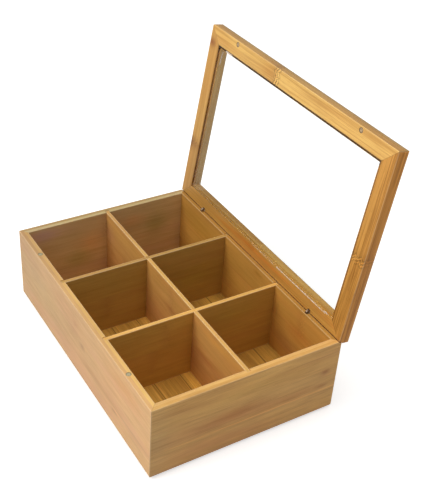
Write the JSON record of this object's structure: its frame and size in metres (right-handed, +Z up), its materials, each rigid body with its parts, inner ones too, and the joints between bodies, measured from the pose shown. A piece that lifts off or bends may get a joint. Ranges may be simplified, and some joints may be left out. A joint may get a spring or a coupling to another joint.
{
  "type": "tea bag organizer box",
  "caption": "Low rectangular bamboo tea bag box with square open compartments and a clear-windowed lid that swings back on hidden barrel hinges and closes on small magnets.",
  "frame": {"origin": "centre of the box's footprint, on the underside it rests on", "axes": "+X along the length, to the right for someone who faces the magnet side; -Y towards the magnet side (front); +Z up"},
  "size_m": [0.29, 0.2303, 0.2696],
  "materials": {
    "bamboo_outer": "satin lacquered bamboo",
    "bamboo_divider": "satin lacquered bamboo",
    "bamboo_floor": "satin, laid in narrow strips",
    "bamboo_lid": "satin lacquered bamboo",
    "clear_pane": "clear, polished",
    "brass": "plain turned",
    "brass_link": "plain",
    "magnet": "nickel-plated"
  },
  "bodies": {
    "box": {"front_wall": "bamboo_outer", "back_wall": "bamboo_outer", "left_end_wall": "bamboo_outer", "right_end_wall": "bamboo_outer", "long_divider": "bamboo_divider", "cross_divider_left": "bamboo_divider", "cross_divider_right": "bamboo_divider", "bottom_panel": "bamboo_floor", "box_magnet_left": "magnet", "box_magnet_right": "magnet", "box_barrel_left": "brass", "box_barrel_right": "brass"},
    "lid": {"lid_front_rail": "bamboo_lid", "lid_back_rail": "bamboo_lid", "lid_left_stile": "bamboo_lid", "lid_right_stile": "bamboo_lid", "window_pane": "clear_pane", "lid_magnet_left": "magnet", "lid_magnet_right": "magnet", "lid_barrel_left": "brass", "lid_barrel_right": "brass"},
    "link_left": {"hinge_link_left": "brass_link"},
    "link_right": {"hinge_link_right": "brass_link"}
  },
  "joints": [
    {"name": "lid_hinge", "type": "hinge", "parent": "box", "child": "lid", "pos_m": [0, 0.0931, 0.08225], "axis": [1, 0, 0], "range_deg": [0, 98.5]},
    {"name": "link_left_turn", "type": "hinge", "parent": "box", "child": "link_left", "pos_m": [-0.097, 0.0931, 0.08225], "axis": [1, 0, 0], "range_deg": [0, 49.25]},
    {"name": "link_right_turn", "type": "hinge", "parent": "box", "child": "link_right", "pos_m": [0.097, 0.0931, 0.08225], "axis": [1, 0, 0], "range_deg": [0, 49.25]}
  ],
  "couplings": [
    {"joint": "link_left_turn", "follows": "lid_hinge", "ratio": 0.5},
    {"joint": "link_right_turn", "follows": "lid_hinge", "ratio": 0.5}
  ]
}
